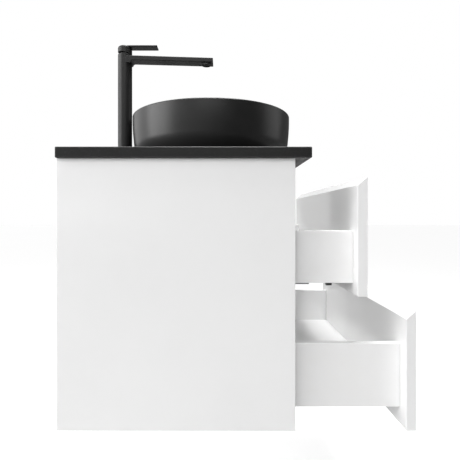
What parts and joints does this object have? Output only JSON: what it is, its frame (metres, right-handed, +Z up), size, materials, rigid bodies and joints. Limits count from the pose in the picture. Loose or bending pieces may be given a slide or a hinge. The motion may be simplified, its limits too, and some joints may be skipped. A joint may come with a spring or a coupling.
{
  "type": "vessel sink on vanity",
  "caption": "Wall-hung white bathroom vanity with drawers drawn open, a black slab top, a round black vessel basin and a tall lever faucet.",
  "frame": {"origin": "on the wall plane, at the centre of the four screw holes of the two wall plates", "axes": "+X to the user's right, +Y into the wall, +Z up"},
  "size_m": [0.618, 0.6595, 0.832],
  "materials": {
    "white_lacquer": "high-gloss white lacquer on board",
    "white_board": "satin white melamine on board",
    "black_slab": "honed black stone",
    "black_ceramic": "satin black glaze",
    "black_metal": "matt black coating on brass",
    "runner_steel": "zinc-plated sheet steel",
    "plated_steel": "plated steel",
    "zinc": "zinc die casting",
    "brass": "turned brass",
    "trap_plastic": "white polypropylene",
    "dark_plastic": "dark grey moulded plastic",
    "rubber": "black rubber",
    "clear_soft": "soft translucent dots"
  },
  "bodies": {
    "cabinet": {"side_panel_left": "white_lacquer", "side_panel_right": "white_lacquer", "bottom_panel": "white_board", "top_front_rail": "white_board", "top_rear_rail": "white_board", "lower_rear_rail": "white_board", "cam_locks": "zinc", "cam_bolts": "plated_steel", "front_bumpers": "clear_soft", "cabinet_hangers": "plated_steel", "hanger_screws": "plated_steel", "wall_plates": "plated_steel", "countertop": "black_slab", "basin_seal": "rubber", "vessel_basin": "black_ceramic", "drain_body": "black_metal", "drain_gasket": "rubber", "drain_clicker": "dark_plastic", "drain_lock_washer": "rubber", "drain_locknut": "brass", "drain_tailpiece": "trap_plastic", "trap_inlet_nut": "trap_plastic", "trap_body": "trap_plastic", "trap_cup": "trap_plastic", "trap_outlet_nut": "trap_plastic", "trap_outlet_tube": "trap_plastic", "faucet_base_ring": "rubber", "faucet_column": "black_metal", "faucet_spout": "black_metal", "aerator": "dark_plastic", "cartridge": "dark_plastic", "cartridge_nut": "brass", "faucet_shank": "brass", "shank_washer": "rubber", "shank_nut": "brass", "supply_tubes": "plated_steel", "upper_runner_fixed": "runner_steel", "lower_runner_fixed": "runner_steel"},
    "upper_drawer": {"upper_drawer_front": "white_lacquer", "upper_drawer_side_left": "white_board", "upper_drawer_side_right": "white_board", "upper_drawer_bottom": "white_board", "upper_drawer_back_boards": "white_board", "pipe_well_boards": "white_board", "upper_runner_drawer": "runner_steel", "upper_runner_clips": "dark_plastic"},
    "upper_runner": {"upper_runner_middle": "runner_steel"},
    "lower_drawer": {"lower_drawer_front": "white_lacquer", "lower_drawer_side_left": "white_board", "lower_drawer_side_right": "white_board", "lower_drawer_bottom": "white_board", "lower_drawer_back": "white_board", "lower_runner_drawer": "runner_steel", "lower_runner_clips": "dark_plastic"},
    "lower_runner": {"lower_runner_middle": "runner_steel"},
    "lever_stem": {"cartridge_stem": "brass"},
    "lever": {"faucet_lever": "black_metal", "lever_spindle": "brass", "lever_set_screw": "plated_steel"},
    "plug": {"drain_plug": "black_metal"}
  },
  "joints": [
    {"name": "upper_drawer_slide", "type": "slide", "parent": "cabinet", "child": "upper_drawer", "axis": [0, -1, 0], "range_m": [-0.113, 0.237]},
    {"name": "upper_runner_slide", "type": "slide", "parent": "cabinet", "child": "upper_runner", "axis": [0, -1, 0], "range_m": [-0.0565, 0.1185]},
    {"name": "lower_drawer_slide", "type": "slide", "parent": "cabinet", "child": "lower_drawer", "axis": [0, -1, 0], "range_m": [-0.202, 0.148]},
    {"name": "lower_runner_slide", "type": "slide", "parent": "cabinet", "child": "lower_runner", "axis": [0, -1, 0], "range_m": [-0.101, 0.074]},
    {"name": "lever_swivel", "type": "hinge", "parent": "cabinet", "child": "lever_stem", "pos_m": [0, -0.052, 0.382], "axis": [0, 0, 1], "range_deg": [-45, 45]},
    {"name": "lever_lift", "type": "hinge", "parent": "lever_stem", "child": "lever", "pos_m": [0, -0.052, 0.388], "axis": [-1, 0, 0], "range_deg": [0, 18]},
    {"name": "plug_slide", "type": "slide", "parent": "cabinet", "child": "plug", "axis": [0, 0, 1], "range_m": [0, 0.008]}
  ],
  "couplings": [
    {"joint": "upper_runner_slide", "follows": "upper_drawer_slide", "ratio": 0.5},
    {"joint": "lower_runner_slide", "follows": "lower_drawer_slide", "ratio": 0.5}
  ]
}
